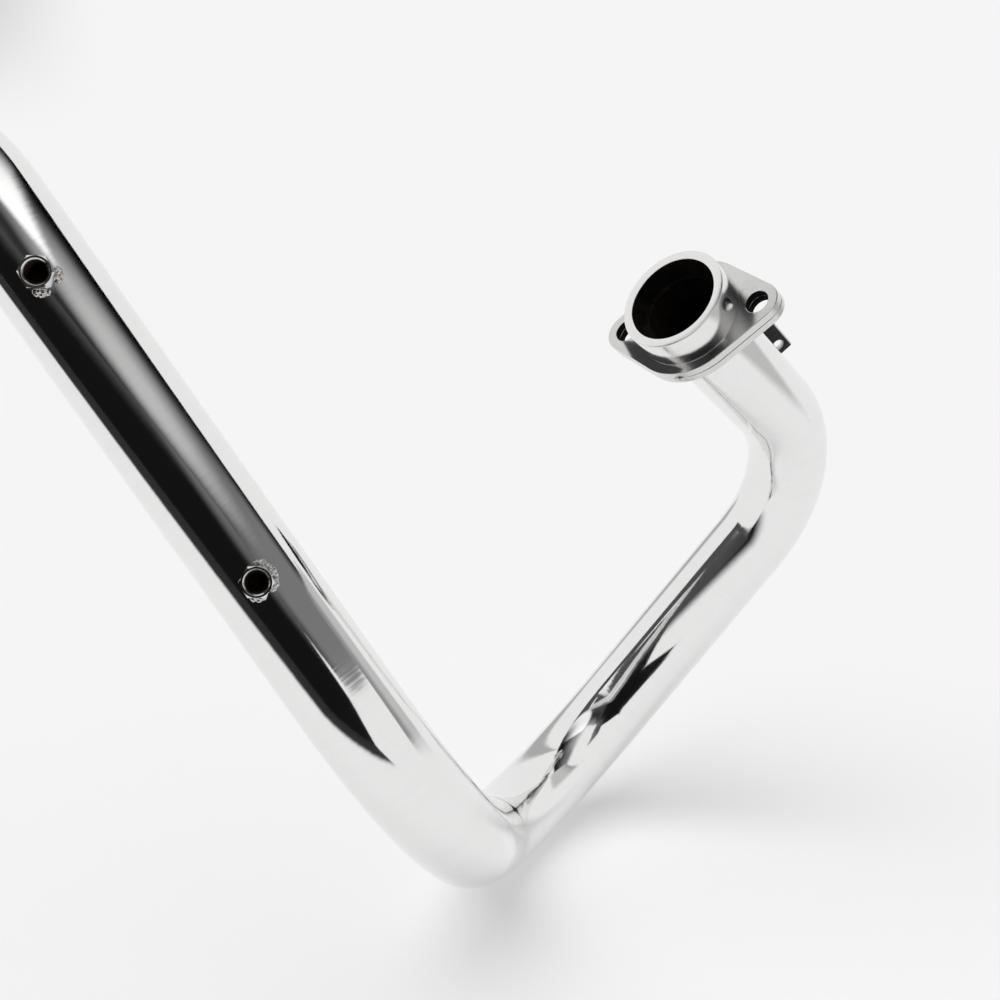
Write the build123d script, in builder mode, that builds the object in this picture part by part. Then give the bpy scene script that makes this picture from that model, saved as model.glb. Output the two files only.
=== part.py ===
from build123d import *
import os
from math import cos, radians, sin, sqrt, tan

os.makedirs("parts", exist_ok=True)

# Motorcycle exhaust header, in millimetres
# The origin is the centre of the flange's head-side face
# +X runs away from the outlet, +Y runs towards the rear of the pipe's loop, and +Z is up

# Pipe section
pipe_od = 31.8
pipe_wall = 1.5

# Pipe route: the straight runs, and each bend's turn, centreline radius and roll from the bend before
inlet_run = 66.5
first_turn = 88.0
first_radius = 48.0
far_run = 87.0
second_roll = -33.5
second_turn = 102.0
second_radius = 64.0
elbow_run = 39.0
third_roll = 76.0
third_turn = 71.5
third_radius = 80.0
rising_run = 180.0
outlet_radius = 64.0
outlet_run = 45.0

# Port direction, and the stud line and first bend clocked around it, in degrees
port_heading = 43.4
port_drop = 36.2
stud_roll = -19.2
first_bend_roll = 130.0

# Collar that enters the exhaust port
collar_height = 12.5
collar_wall = 3.5
mouth_depth = 8.5
mouth_step = 0.6
collar_chamfer = 0.4

# Flange made of two identical plates
plate_thickness = 3.1
hub_margin = 8.0
stud_spacing = 54.0
stud_hole_diameter = 8.6
ear_wall = 3.6
plate_edge_break = 0.4
slip_clearance = 0.05

# Welds at the flange
seam_weld_leg = 4.0
tack_radius = 1.9
tack_length = 4.2
tack_depth = 1.0
tack_angle = 96.0

# Threaded bosses on the rising run
boss_across_flats = 9.0
boss_height = 7.5
boss_crown_diameter = 9.0
boss_crown_slope = 30.0
boss_thread_core = 5.0
boss_countersink = 8.0
boss_foot_relief = 0.6
boss_spacing = 107.0
boss_from_bend = 29.0
boss_clock = -175.8
boss_spin = -5.0

# Tack lumps around the feet of the bosses, in degrees around each boss from the direction of flow
boss_weld_radius = 1.7
boss_weld_height = 1.8
boss_weld_root = 0.8
upper_weld_angles = (-118.0, 147.0)
lower_weld_angles = (-48.0, -94.0, -132.0, 147.0)

# Tab on the inlet run
tab_angle = -40.5
tab_offset = 8.0
tab_thickness = 2.0
tab_reach = 8.0
tab_length = 16.0
tab_from_bend = 8.9
tab_corner = 1.0
tab_hole_diameter = 4.2
tab_hole_from_side = 4.5
tab_hole_from_end = 5.3
tab_weld_radius = 1.6
tab_weld_inset = 1.5

# Derived sizes
pipe_radius = pipe_od / 2
mouth_radius = pipe_radius + mouth_step
collar_radius = mouth_radius + collar_wall
slip_radius = pipe_radius + slip_clearance
hub_radius = pipe_radius + hub_margin
ear_radius = stud_hole_diameter / 2 + ear_wall
flange_thickness = 2 * plate_thickness
socket_depth = collar_height - mouth_depth


# Planes of the head face
def about(direction):
    """Axis through the origin along a direction."""
    return Axis((0, 0, 0), direction)


port_axis = Vector(1, 0, 0).rotate(Axis.Y, port_drop).rotate(Axis.Z, port_heading)
level_line = Vector(0, -1, 0).rotate(Axis.Z, port_heading)
stud_line = level_line.rotate(about(port_axis), stud_roll)
head_face = Plane(origin=(0, 0, 0), x_dir=stud_line, z_dir=port_axis)
half_section = Plane(origin=(0, 0, 0), x_dir=head_face.x_dir, z_dir=-head_face.y_dir)


# Corners of the pipe's route
def setback(turn, radius):
    """Distance from a bend's end to the corner where its two straight runs would meet."""
    return radius * tan(radians(turn / 2))


pipe_start = head_face.offset(-socket_depth).origin
corners = [pipe_start]
corner = head_face.origin
flow = port_axis
inward = stud_line
last_setback = 0.0
bends = (
    (inlet_run, first_bend_roll, first_turn, first_radius),
    (far_run, second_roll, second_turn, second_radius),
    (elbow_run, third_roll, third_turn, third_radius),
)
for run, roll, turn, radius in bends:
    inward = inward.rotate(about(flow), roll)
    corner = corner + flow * (last_setback + run + setback(turn, radius))
    corners.append(corner)
    bend_axis = about(flow.cross(inward))
    flow = flow.rotate(bend_axis, turn)
    inward = inward.rotate(bend_axis, turn)
    last_setback = setback(turn, radius)

rising_start = corner + flow * last_setback
outlet_flow = Vector(-1, 0, 0)
outlet_turn = flow.get_angle(outlet_flow)
outlet_setback = setback(outlet_turn, outlet_radius)
outlet_corner = rising_start + flow * (rising_run + outlet_setback)
outlet_end = outlet_corner + outlet_flow * (outlet_setback + outlet_run)
corners.append(outlet_corner)
corners.append(outlet_end)
route_radii = [radius for run, roll, turn, radius in bends] + [outlet_radius]

# Header pipe
with BuildPart() as header_pipe:
    with BuildLine() as route:
        FilletPolyline(*corners, radius=route_radii)
    with BuildSketch(head_face.offset(-socket_depth)):
        Circle(pipe_radius)
        Circle(pipe_radius - pipe_wall, mode=Mode.SUBTRACT)
    sweep(path=route.wires()[0])

# Port collar: a turned ring with the gasket mouth on the head side and a socket for the pipe
with BuildPart() as port_collar:
    with BuildSketch(half_section):
        with BuildLine():
            Polyline(
                (slip_radius, 0),
                (collar_radius, 0),
                (collar_radius, collar_chamfer - collar_height),
                (collar_radius - collar_chamfer, -collar_height),
                (mouth_radius + collar_chamfer, -collar_height),
                (mouth_radius, collar_chamfer - collar_height),
                (mouth_radius, -socket_depth),
                (slip_radius, -socket_depth),
                close=True,
            )
        make_face()
    revolve(axis=about(port_axis))


# Flange plates
def flange_plate(face):
    """Lozenge plate that stands on a plane and grows along the port axis.

    Args:
        face: plane of the plate's head-side face.

    Returns:
        The builder that holds the plate.
    """
    with BuildPart() as plate:
        with BuildSketch(face):
            Circle(hub_radius)
            with GridLocations(stud_spacing, 0, 2, 1):
                Circle(ear_radius)
            make_hull()
            Circle(slip_radius, mode=Mode.SUBTRACT)
            with GridLocations(stud_spacing, 0, 2, 1):
                Circle(stud_hole_diameter / 2, mode=Mode.SUBTRACT)
        extrude(amount=plate_thickness)
        flat_faces = plate.faces().sort_by(about(port_axis))
        rim_edges = flat_faces[0].outer_wire().edges() + flat_faces[-1].outer_wire().edges()
        chamfer(rim_edges, length=plate_edge_break)
    return plate


front_flange_plate = flange_plate(head_face)
rear_flange_plate = flange_plate(head_face.offset(plate_thickness))

# Tack welds across the edges of the two plates, on opposite sides of the hub
tack_centre_radius = hub_radius - tack_depth
with BuildPart() as flange_tack_welds:
    with Locations(head_face.offset(plate_thickness)):
        with PolarLocations(tack_centre_radius, 2, start_angle=tack_angle):
            Cylinder(tack_radius, tack_length)
    add(front_flange_plate.part, mode=Mode.SUBTRACT)
    add(rear_flange_plate.part, mode=Mode.SUBTRACT)

# Seam weld between the rear plate and the pipe
with BuildPart() as flange_seam_weld:
    with BuildSketch(half_section):
        with BuildLine():
            Polyline(
                (pipe_radius, flange_thickness),
                (pipe_radius + seam_weld_leg, flange_thickness),
                (pipe_radius, flange_thickness + seam_weld_leg),
                close=True,
            )
        make_face()
    revolve(axis=about(port_axis))

# Bosses on the rising run
boss_out = inward.rotate(about(flow), boss_clock)
rising_section = Plane(origin=rising_start, x_dir=boss_out, z_dir=flow)
upper_station = rising_run - boss_from_bend
lower_station = upper_station - boss_spacing
boss_top = pipe_radius + boss_height


def boss_plane(station):
    """Plane across the pipe's axis at a boss, looking out along the boss."""
    return Plane(origin=rising_start + flow * station, x_dir=flow, z_dir=boss_out)


def threaded_boss(station):
    """Hexagonal boss with a coned crown and a thread relieved at both ends, coped onto the rising run.

    Args:
        station: distance along the rising run.

    Returns:
        The builder that holds the boss.
    """
    crown_radius = boss_crown_diameter / 2
    crown_reach = crown_radius + boss_top / tan(radians(boss_crown_slope))
    top_plane = boss_plane(station).offset(boss_top)
    with BuildPart() as boss:
        with BuildSketch(top_plane):
            RegularPolygon(boss_across_flats / 2, 6, major_radius=False, rotation=boss_spin)
        extrude(amount=-boss_top)
        with Locations(boss_plane(station)):
            Cone(
                crown_reach,
                crown_radius,
                boss_top,
                align=(Align.CENTER, Align.CENTER, Align.MIN),
                mode=Mode.INTERSECT,
            )
        with Locations(top_plane):
            CounterSinkHole(boss_thread_core / 2, boss_countersink / 2, depth=boss_top)
        with Locations(boss_plane(station).offset(pipe_radius)):
            Cone(
                boss_thread_core / 2 + 2 * boss_foot_relief,
                boss_thread_core / 2,
                2 * boss_foot_relief,
                mode=Mode.SUBTRACT,
            )
        with BuildSketch(rising_section):
            Circle(pipe_radius)
        extrude(amount=rising_run, mode=Mode.SUBTRACT)
    return boss


def foot_welds(boss, station, angles):
    """Tack lumps around the foot of a boss.

    Args:
        boss: builder of the boss that the lumps hold.
        station: distance along the rising run.
        angles: places of the lumps around the boss, in degrees from the flow.

    Returns:
        The builder that holds the lumps.
    """
    foot_radius = boss_across_flats / 2 + boss_weld_radius / 4
    with BuildPart() as lumps:
        for angle in angles:
            along = foot_radius * cos(radians(angle))
            across = foot_radius * sin(radians(angle))
            out = sqrt(pipe_radius**2 - across**2)
            with Locations(boss_plane(station).offset(out - boss_weld_root)):
                with Locations((along, across)):
                    Cone(
                        boss_weld_radius,
                        boss_weld_radius / 2,
                        boss_weld_height + boss_weld_root,
                        align=(Align.CENTER, Align.CENTER, Align.MIN),
                    )
        add(boss.part, mode=Mode.SUBTRACT)
        with BuildSketch(boss_plane(station)):
            RegularPolygon(boss_across_flats / 2, 6, major_radius=False, rotation=boss_spin)
        extrude(amount=boss_top, mode=Mode.SUBTRACT)
        with BuildSketch(rising_section):
            Circle(pipe_radius)
        extrude(amount=rising_run, mode=Mode.SUBTRACT)
    return lumps


upper_boss = threaded_boss(upper_station)
lower_boss = threaded_boss(lower_station)
upper_boss_welds = foot_welds(upper_boss, upper_station, upper_weld_angles)
lower_boss_welds = foot_welds(lower_boss, lower_station, lower_weld_angles)

# Tab on the inlet run, flat along the pipe
tab_out = stud_line.rotate(about(port_axis), tab_angle)
tab_normal = port_axis.cross(tab_out)
tab_face = Plane(origin=-tab_normal * tab_offset, x_dir=tab_out, z_dir=tab_normal)
tab_foot = sqrt(pipe_radius**2 - tab_offset**2)
tab_edge = tab_foot + tab_reach
tab_far_end = inlet_run - tab_from_bend
tab_near_end = tab_far_end - tab_length
with BuildPart() as bracket_tab:
    with BuildSketch(tab_face):
        with Locations((0, -tab_far_end)):
            Rectangle(tab_edge, tab_length, align=(Align.MIN, Align.MIN))
        outer_corners = [v for v in vertices() if v.X > tab_foot]
        fillet(outer_corners, radius=tab_corner)
        with Locations((tab_edge - tab_hole_from_side, tab_hole_from_end - tab_far_end)):
            Circle(tab_hole_diameter / 2, mode=Mode.SUBTRACT)
    extrude(amount=-tab_thickness)
    with BuildSketch(head_face):
        Circle(pipe_radius)
    extrude(amount=inlet_run, mode=Mode.SUBTRACT)

# Weld bead along the foot of the tab, on its hidden side
tab_back = tab_offset + tab_thickness
bead_foot = sqrt(pipe_radius**2 - tab_back**2)
bead_plane = Plane(
    origin=tab_out * bead_foot - tab_normal * tab_back + port_axis * (tab_near_end + tab_weld_inset),
    x_dir=tab_out,
    z_dir=port_axis,
)
with BuildPart() as tab_weld:
    with BuildSketch(bead_plane):
        Circle(tab_weld_radius)
    extrude(amount=tab_length - 2 * tab_weld_inset)
    chamfer(tab_weld.edges().filter_by(GeomType.CIRCLE), length=tab_weld_radius / 2)
    add(bracket_tab.part, mode=Mode.SUBTRACT)
    with BuildSketch(head_face):
        Circle(pipe_radius)
    extrude(amount=inlet_run, mode=Mode.SUBTRACT)

# One STEP file for each piece
pieces = {
    "header_pipe": header_pipe,
    "port_collar": port_collar,
    "front_flange_plate": front_flange_plate,
    "rear_flange_plate": rear_flange_plate,
    "flange_tack_welds": flange_tack_welds,
    "flange_seam_weld": flange_seam_weld,
    "upper_boss": upper_boss,
    "lower_boss": lower_boss,
    "upper_boss_welds": upper_boss_welds,
    "lower_boss_welds": lower_boss_welds,
    "bracket_tab": bracket_tab,
    "tab_weld": tab_weld,
}
for name, piece in pieces.items():
    piece.part.label = name
    export_step(piece.part, f"parts/{name}.step")
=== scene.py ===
"""Dressed model of a bent and polished motorcycle exhaust header in a pale studio."""

import logging
import math
from contextlib import contextmanager
from dataclasses import dataclass
from enum import Enum
from typing import Callable, Dict, Iterator, List, Optional, Sequence, Tuple, Union

import bmesh
import bpy
from mathutils import Matrix, Vector

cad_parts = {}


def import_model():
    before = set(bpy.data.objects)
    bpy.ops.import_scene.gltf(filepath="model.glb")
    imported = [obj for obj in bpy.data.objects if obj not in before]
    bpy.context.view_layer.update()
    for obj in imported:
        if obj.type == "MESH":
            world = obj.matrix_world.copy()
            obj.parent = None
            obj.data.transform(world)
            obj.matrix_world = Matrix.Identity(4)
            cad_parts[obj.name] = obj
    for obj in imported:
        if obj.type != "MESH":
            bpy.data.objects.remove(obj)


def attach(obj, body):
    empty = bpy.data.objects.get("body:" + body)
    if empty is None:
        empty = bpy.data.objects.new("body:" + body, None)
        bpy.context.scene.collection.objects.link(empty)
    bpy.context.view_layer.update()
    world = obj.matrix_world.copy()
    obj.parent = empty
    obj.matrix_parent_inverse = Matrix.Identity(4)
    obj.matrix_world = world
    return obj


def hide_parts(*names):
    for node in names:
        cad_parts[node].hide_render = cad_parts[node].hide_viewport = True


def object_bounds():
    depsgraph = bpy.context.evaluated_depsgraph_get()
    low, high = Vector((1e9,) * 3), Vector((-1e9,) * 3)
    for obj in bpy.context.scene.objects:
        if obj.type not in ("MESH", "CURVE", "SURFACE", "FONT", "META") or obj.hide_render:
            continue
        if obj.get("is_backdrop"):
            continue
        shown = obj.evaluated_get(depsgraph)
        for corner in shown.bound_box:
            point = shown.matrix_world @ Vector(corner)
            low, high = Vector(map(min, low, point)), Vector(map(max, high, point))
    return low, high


LOG = logging.getLogger("exhaust_header")

MM = 0.001
BODY = "root"
X_AXIS = Vector((1, 0, 0))
Y_AXIS = Vector((0, 1, 0))
Z_AXIS = Vector((0, 0, 1))

Colour = Tuple[float, float, float, float]
Pair = Tuple[float, float]
Corners = Tuple[Pair, Pair, Pair, Pair]
Drop = Tuple[Vector, float]


class Slot(Enum):
    """Material slots of the pieces."""

    PIPE = "polished_stainless"
    COLLAR = "turned_steel"
    PLATE = "satin_plate"
    TAB = "scaled_plate"
    WELD = "weld_metal"
    BOSS = "boss_steel"


class Cut(Enum):
    """Ways in which one mesh shapes another."""

    AWAY = "DIFFERENCE"
    COMMON = "INTERSECT"


def turned(direction: Vector, axis: Vector, degrees: float) -> Vector:
    """Turn a direction about an axis by the right-hand rule."""
    return Matrix.Rotation(math.radians(degrees), 3, axis) @ direction


def standing(origin: Vector, x_dir: Vector, z_dir: Vector) -> Matrix:
    """Place a piece on a plane.

    Args:
        origin: the plane's origin in metres.
        x_dir: direction of the piece's X.
        z_dir: direction of the piece's Z.

    Returns:
        The matrix that takes the piece there.
    """
    z_axis = z_dir.normalized()
    x_axis = (x_dir - z_axis * x_dir.dot(z_axis)).normalized()
    turn = Matrix((x_axis, z_axis.cross(x_axis), z_axis)).transposed().to_4x4()
    return Matrix.Translation(origin) @ turn


class Workpiece:
    """One mesh on the bench, shaped with Blender's own operators."""

    def __init__(self, name: str, place: Matrix, add: Callable[..., object], **settings: object) -> None:
        """Add a primitive and put its place into its mesh.

        Args:
            name: name of the piece.
            place: where the primitive goes.
            add: the operator that adds the primitive.
            settings: the operator's settings, in metres.
        """
        bpy.ops.object.select_all(action="DESELECT")
        add(**settings)
        self.body: bpy.types.Object = bpy.context.object
        self.body.name = name
        self.body.data.name = name
        self.body.matrix_world = place
        bpy.ops.object.transform_apply(location=True, rotation=True, scale=True)

    @classmethod
    def circle(cls, name: str, radius: float, place: Matrix, segments: int) -> "Workpiece":
        """Add an open ring of edges, in metres."""
        add = bpy.ops.mesh.primitive_circle_add
        return cls(name, place, add, vertices=segments, radius=radius, fill_type="NOTHING")

    @classmethod
    def drum(cls, name: str, radius: float, depth: float, place: Matrix, segments: int = 96) -> "Workpiece":
        """Add a closed drum that stands on its place, in metres."""
        middle = place @ Matrix.Translation((0, 0, depth / 2))
        add = bpy.ops.mesh.primitive_cylinder_add
        return cls(name, middle, add, vertices=segments, radius=radius, depth=depth)

    @classmethod
    def lathe(cls, name: str, profile: Sequence[Pair], place: Matrix, segments: int) -> "Workpiece":
        """Turn a closed profile about the Z of a place.

        Args:
            name: name of the piece.
            profile: (radius, height) points of the closed outline, in millimetres.
            place: where the profile's axis stands.
            segments: number of steps around.

        Returns:
            The turned ring.
        """
        points = [(radius * MM, height * MM) for radius, height in profile]
        radius, height = points[0]
        piece = cls.circle(name, radius, place @ Matrix.Translation((0, 0, height)), segments)
        axis = (place.to_3x3() @ Z_AXIS).normalized()
        origin = place.to_translation()
        with piece.editing():
            bpy.ops.mesh.select_all(action="SELECT")
            for next_radius, next_height in points[1:]:
                piece.extrude(axis * (next_height - height))
                factor = next_radius / radius
                middle = tuple(origin + axis * next_height)
                bpy.ops.transform.resize(value=(factor, factor, factor), center_override=middle)
                radius, height = next_radius, next_height
            piece.pick_edges(lambda edge: edge.is_boundary)
            bpy.ops.mesh.bridge_edge_loops()
            piece.face_outwards()
        return piece

    def select(self) -> None:
        """Select this piece alone and make it the active one."""
        bpy.ops.object.select_all(action="DESELECT")
        self.body.select_set(True)
        bpy.context.view_layer.objects.active = self.body

    @contextmanager
    def editing(self) -> Iterator[bmesh.types.BMesh]:
        """Hold the piece in edit mode.

        Yields:
            The mesh that is being edited.
        """
        self.select()
        bpy.ops.object.mode_set(mode="EDIT")
        try:
            yield bmesh.from_edit_mesh(self.body.data)
        finally:
            bpy.ops.object.mode_set(mode="OBJECT")

    def extrude(self, offset: Vector) -> None:
        """Extrude what is selected by an offset."""
        bpy.ops.mesh.extrude_region_move(TRANSFORM_OT_translate={"value": tuple(offset)})

    def face_outwards(self) -> None:
        """Turn all faces outwards."""
        bpy.ops.mesh.select_all(action="SELECT")
        bpy.ops.mesh.normals_make_consistent(inside=False)

    def pick_edges(self, test: Callable[[bmesh.types.BMEdge], bool]) -> None:
        """Select the edges that pass a test.

        Args:
            test: takes an edge.
        """
        bpy.ops.mesh.select_all(action="DESELECT")
        bpy.ops.mesh.select_mode(type="EDGE")
        mesh = bmesh.from_edit_mesh(self.body.data)
        for edge in mesh.edges:
            edge.select_set(test(edge))
        mesh.select_flush_mode()
        bmesh.update_edit_mesh(self.body.data)

    def modify(self, kind: str, settings: Dict[str, object]) -> None:
        """Add a modifier and apply it.

        Args:
            kind: type of the modifier.
            settings: its settings.
        """
        self.select()
        bpy.ops.object.modifier_add(type=kind)
        modifier = self.body.modifiers[-1]
        for key, value in settings.items():
            setattr(modifier, key, value)
        bpy.ops.object.modifier_apply(modifier=modifier.name)

    def shape_by(self, tool: "Workpiece", cut: Cut = Cut.AWAY, keep_tool: bool = False) -> None:
        """Shape the piece by another mesh.

        Args:
            tool: the mesh that cuts.
            cut: what the tool does.
            keep_tool: whether the tool is used again.
        """
        self.modify("BOOLEAN", {"operation": cut.value, "object": tool.body, "solver": "EXACT"})
        if not keep_tool:
            bpy.data.objects.remove(tool.body, do_unlink=True)

    def join(self, others: Sequence["Workpiece"]) -> None:
        """Join other pieces into this one."""
        self.select()
        for other in others:
            other.body.select_set(True)
        bpy.ops.object.join()

    def ease_edges(self, width: float, degrees: float, segments: int) -> None:
        """Round the sharp edges.

        Args:
            width: width of the rounding in millimetres.
            degrees: edges sharper than this are rounded.
            segments: faces across the rounding.
        """
        limit = math.radians(degrees)
        settings = {"width": width * MM, "segments": segments, "limit_method": "ANGLE", "angle_limit": limit}
        self.modify("BEVEL", settings)

    def smooth(self, degrees: float) -> None:
        """Shade the piece smooth across all but the sharp edges."""
        self.select()
        bpy.ops.object.shade_smooth_by_angle(angle=math.radians(degrees))

    def paint(self, index: int, test: Callable[[Vector], bool]) -> None:
        """Move the faces that pass a test to another material slot.

        Args:
            index: number of the slot.
            test: takes the middle of a face.
        """
        for face in self.body.data.polygons:
            if test(face.center):
                face.material_index = index

    def seat(self, node: str, slot: Slot, *materials: bpy.types.Material) -> None:
        """Dress the piece and let it stand for its CAD node.

        Args:
            node: the CAD node.
            slot: the slot that the finish belongs to; not used.
            materials: the materials of the piece's slots.
        """
        slots = self.body.data.materials
        for index, material in enumerate(materials):
            if index < len(slots):
                slots[index] = material
            else:
                slots.append(material)
        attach(self.body, BODY)
        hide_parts(node)
        LOG.info("%s: %d faces", self.body.name, len(self.body.data.polygons))


def bead(name: str, drops: Sequence[Drop], voxel: float, crumple: float) -> Workpiece:
    """Melt a row of drops into one bead.

    Args:
        name: name of the bead.
        drops: centre and radius of each drop, in metres.
        voxel: size of the bead's faces in millimetres.
        crumple: height of the bead's crumpled skin in millimetres.

    Returns:
        The bead.
    """
    add = bpy.ops.mesh.primitive_uv_sphere_add
    lump, *others = [
        Workpiece("drop", Matrix.Translation(at), add, segments=20, ring_count=12, radius=radius)
        for at, radius in drops
    ]
    lump.join(others)
    lump.body.name = name
    lump.body.data.name = name
    lump.modify("REMESH", {"mode": "VOXEL", "voxel_size": voxel * MM, "use_smooth_shade": True})
    lump.modify("SMOOTH", {"factor": 0.5, "iterations": 2})
    skin = bpy.data.textures.new(f"{name}_skin", "CLOUDS")
    skin.noise_scale = 5 * voxel * MM
    skin.noise_depth = 2
    settings = {"texture": skin, "texture_coords": "LOCAL", "strength": 2 * crumple * MM, "mid_level": 0.5}
    lump.modify("DISPLACE", settings)
    return lump


Operand = Union["Value", float]
Shade = Callable[["Graph", "Value"], "Value"]


class Value:
    """A shader socket that takes part in Python expressions."""

    def __init__(self, graph: "Graph", socket: bpy.types.NodeSocket) -> None:
        """Wrap an output socket of a graph."""
        self.graph = graph
        self.socket = socket

    def _maths(self, operation: str, first: Operand, second: Operand) -> "Value":
        """Add a Math node of two operands."""
        return self.graph.node("ShaderNodeMath", {"operation": operation}, {0: first, 1: second})

    def __add__(self, other: Operand) -> "Value":
        """Add."""
        return self._maths("ADD", self, other)

    def __radd__(self, other: Operand) -> "Value":
        """Add to a number."""
        return self._maths("ADD", other, self)

    def __sub__(self, other: Operand) -> "Value":
        """Subtract."""
        return self._maths("SUBTRACT", self, other)

    def __rsub__(self, other: Operand) -> "Value":
        """Subtract from a number."""
        return self._maths("SUBTRACT", other, self)

    def __mul__(self, other: Operand) -> "Value":
        """Multiply."""
        return self._maths("MULTIPLY", self, other)

    def __rmul__(self, other: Operand) -> "Value":
        """Multiply a number."""
        return self._maths("MULTIPLY", other, self)

    def __truediv__(self, other: Operand) -> "Value":
        """Divide."""
        return self._maths("DIVIDE", self, other)

    def __rtruediv__(self, other: Operand) -> "Value":
        """Divide a number."""
        return self._maths("DIVIDE", other, self)

    def ramp(self, low: float, high: float) -> "Value":
        """Rise smoothly from 0 at the low value to 1 at the high one."""
        inputs = {"Value": self, "From Min": low, "From Max": high, "To Min": 0.0, "To Max": 1.0}
        return self.graph.node("ShaderNodeMapRange", {"interpolation_type": "SMOOTHSTEP"}, inputs)

    def fall(self, low: float, high: float) -> "Value":
        """Fall smoothly from 1 at the low value to 0 at the high one."""
        return 1.0 - self.ramp(low, high)


class Graph:
    """The node tree of one material or world."""

    def __init__(self, tree: bpy.types.NodeTree) -> None:
        """Start with an empty tree."""
        self.tree = tree
        tree.nodes.clear()

    def node(
        self,
        kind: str,
        settings: Optional[Dict[str, object]] = None,
        inputs: Optional[Dict[Union[int, str], object]] = None,
        output: Union[int, str] = 0,
    ) -> Value:
        """Add a node.

        Args:
            kind: type of the node.
            settings: the node's own settings, set before its sockets.
            inputs: value or link of each socket.
            output: the output to hand back.

        Returns:
            The chosen output.
        """
        node = self.tree.nodes.new(kind)
        for key, value in (settings or {}).items():
            setattr(node, key, value)
        for key, value in (inputs or {}).items():
            if isinstance(value, Value):
                self.tree.links.new(value.socket, node.inputs[key])
            else:
                node.inputs[key].default_value = value
        return Value(self, node.outputs[output] if node.outputs else None)

    def vector(self, operation: str, first: Value, second: Sequence[float], output: str = "Vector") -> Value:
        """Add a Vector Math node of a link and a constant."""
        inputs = {0: first, 1: tuple(second)}
        return self.node("ShaderNodeVectorMath", {"operation": operation}, inputs, output)

    def mix(self, factor: Operand, first: object, second: object) -> Value:
        """Mix two colours or links, by the share of the second."""
        inputs = {0: factor, 6: first, 7: second}
        return self.node("ShaderNodeMix", {"data_type": "RGBA"}, inputs, 2)

    def place(self) -> Value:
        """Give the point's place in the part's frame."""
        return self.node("ShaderNodeTexCoord", output="Object")

    def along(self, point: Value, direction: Vector) -> Value:
        """Measure a point along a unit direction, in metres."""
        return self.vector("DOT_PRODUCT", point, direction, "Value")

    def distance(self, point: Value, other: Vector) -> Value:
        """Measure a point's distance from another, in metres."""
        return self.vector("DISTANCE", point, other, "Value")

    def off_axis(self, point: Value, axis: Vector, middle: Vector) -> Value:
        """Measure a point's distance from the axis through a middle, in metres."""
        cross = self.vector("CROSS_PRODUCT", self.vector("SUBTRACT", point, middle), axis)
        return self.node("ShaderNodeVectorMath", {"operation": "LENGTH"}, {0: cross}, "Value")

    def noise(self, point: Value, per_metre: float, detail: float = 3.0) -> Value:
        """Give a cloudy pattern between 0 and 1, by its cells per metre and octaves."""
        inputs = {"Vector": point, "Scale": per_metre, "Detail": detail}
        return self.node("ShaderNodeTexNoise", {"noise_dimensions": "3D"}, inputs)

    def rings(self, station: Value, per_metre: float) -> Value:
        """Give uneven rings along a distance, as a pattern between 0 and 1."""
        inputs = {"W": station, "Scale": per_metre, "Detail": 2.0}
        return self.node("ShaderNodeTexNoise", {"noise_dimensions": "1D"}, inputs)

    def strokes(self, point: Value, station: Value, per_metre: float, stretch: float) -> Value:
        """Give short strokes around the pipe, between 0 and 1, finer along the pipe by the stretch."""
        inputs = {"Vector": point, "W": station * stretch, "Scale": per_metre, "Detail": 2.0}
        return self.node("ShaderNodeTexNoise", {"noise_dimensions": "4D"}, inputs)

    def bump(self, height: Value, depth: float) -> Value:
        """Turn a pattern into the normal of a relief with a depth in metres."""
        inputs = {"Height": height, "Distance": depth, "Strength": 1.0}
        return self.node("ShaderNodeBump", None, inputs, "Normal")

    def metal(self, inputs: Dict[Union[int, str], object]) -> None:
        """Close a material with a metal shader, by the value or link of its sockets."""
        self.close(self.node("ShaderNodeBsdfPrincipled", None, {"Metallic": 1.0, **inputs}))

    def close(self, shader: Value) -> None:
        """Close a material with a shader."""
        self.node("ShaderNodeOutputMaterial", None, {"Surface": shader})


def new_graph(name: str) -> Tuple[bpy.types.Material, Graph]:
    """Start a material.

    Args:
        name: name of the material.

    Returns:
        The material and its graph.
    """
    material = bpy.data.materials.new(name)
    material.use_nodes = True
    return material, Graph(material.node_tree)


def grey(level: float, warmth: float = 0.0) -> Colour:
    """Give a grey that is a little warm."""
    return (level * (1 + warmth), level, level * (1 - warmth), 1.0)


@dataclass(frozen=True)
class PolishedStainless:
    """Mirror polish with the fine strokes of the polishing wheel."""

    bright: Colour = grey(0.87, 0.004)
    dull: Colour = grey(0.80, 0.004)
    roughness: float = 0.045
    stroke_roughness: float = 0.09
    cloud_roughness: float = 0.02
    relief: float = 0.000006

    def material(self) -> bpy.types.Material:
        """Make the material of the pipe's outside."""
        material, graph = new_graph("polished_stainless")
        point = graph.place()
        station = graph.node("ShaderNodeAttribute", {"attribute_name": "route"}, None, "Fac")
        fine = graph.strokes(point, station, per_metre=45.0, stretch=24.0)
        broad = graph.strokes(point, station, per_metre=30.0, stretch=6.0)
        cloud = graph.noise(point, per_metre=60.0)
        wheel = fine * broad
        graph.metal({
            "Base Color": graph.mix(wheel, self.bright, self.dull),
            "Roughness": self.roughness + self.stroke_roughness * wheel + self.cloud_roughness * cloud,
            "Normal": graph.bump(fine + broad * 3.0 + cloud * 8.0, self.relief),
        })
        return material


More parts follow.
